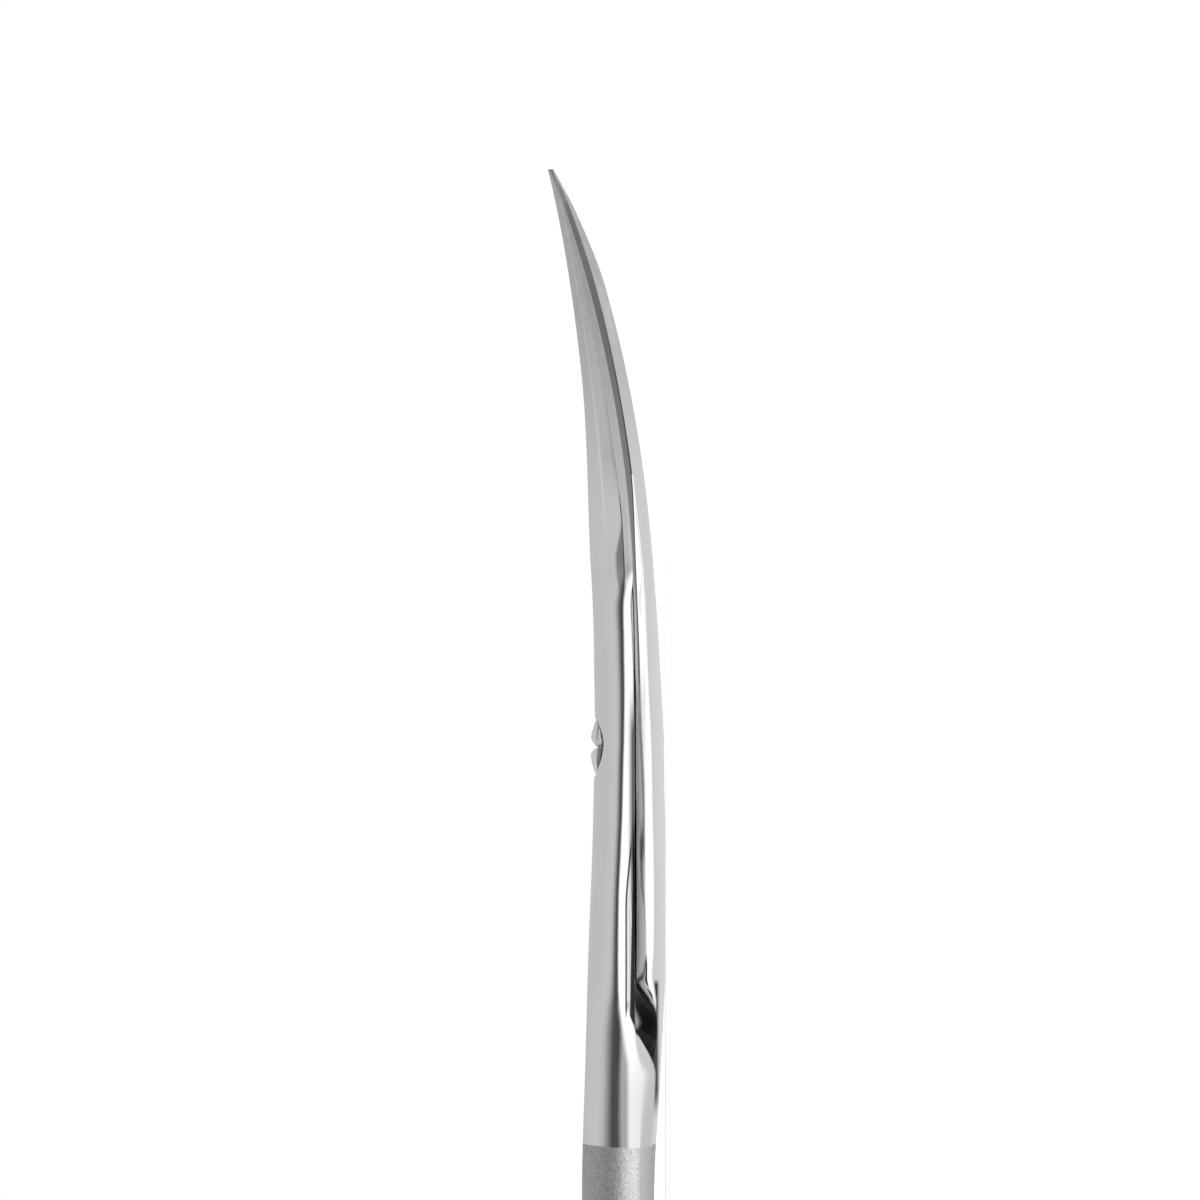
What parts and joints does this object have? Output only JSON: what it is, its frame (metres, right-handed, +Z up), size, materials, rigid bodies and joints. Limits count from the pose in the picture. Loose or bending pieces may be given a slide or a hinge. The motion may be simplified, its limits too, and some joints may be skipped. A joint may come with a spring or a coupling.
{
  "type": "cuticle scissors",
  "caption": "Small steel scissors with slim pointed blades that curve upwards, a slotted pivot screw and two finger rings.",
  "frame": {"origin": "pivot axis, at the surface that the scissors lie on, closed", "axes": "+X from the pivot towards the tips of the blades, +Y across the scissors, +Z up along the pivot axis, towards the side that the blades curve to and the screw head is on"},
  "size_m": [0.0949, 0.0502, 0.0059],
  "materials": {
    "blade_steel": "mirror-polished stainless steel in front, satin behind the shoulder",
    "screw_steel": "polished stainless steel, a little worn at the slot"
  },
  "bodies": {
    "lower": {"lower_half": "blade_steel", "pivot_screw": "screw_steel"},
    "upper": {"upper_half": "blade_steel"}
  },
  "joints": [
    {"name": "pivot", "type": "hinge", "parent": "lower", "child": "upper", "pos_m": [0, 0, 0.0015], "axis": [0, 0, 1], "range_deg": [0, 50]}
  ]
}
